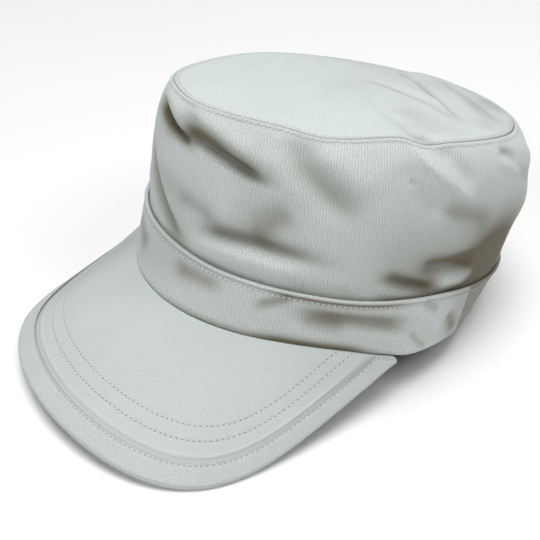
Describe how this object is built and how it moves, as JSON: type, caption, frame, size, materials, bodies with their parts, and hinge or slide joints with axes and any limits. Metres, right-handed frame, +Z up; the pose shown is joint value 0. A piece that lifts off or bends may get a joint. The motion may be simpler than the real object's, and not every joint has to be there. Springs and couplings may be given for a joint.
{
  "type": "work cap",
  "caption": "Soft twill work cap: flat oval top, tall side panel with soft folds, stitched band and sweatband, and a stiff curved peak with a bound edge, lying as it rests by itself.",
  "frame": {"origin": "under the middle of the cap's box, on the surface that it rests on", "axes": "+Z up from the surface, -Y toward the tip of the peak, +X toward the wearer's left"},
  "size_m": [0.182, 0.2884, 0.1414],
  "materials": {
    "top_twill": "matt off-white cotton twill, fine diagonal weave",
    "side_twill": "matt off-white cotton twill, ribs upright",
    "band_twill": "matt off-white cotton twill, folded and topstitched",
    "sweatband_cotton": "matt undyed cotton tape",
    "peak_twill": "matt off-white cotton twill over a stiff board, two rows of stitches",
    "binding_twill": "matt off-white twill strip cut on the bias, topstitched"
  },
  "bodies": {
    "root": {"top_panel": "top_twill", "side_panel": "side_twill", "band": "band_twill", "back_band": "band_twill", "sweatband": "sweatband_cotton", "peak": "peak_twill", "peak_binding": "binding_twill"}
  },
  "joints": []
}
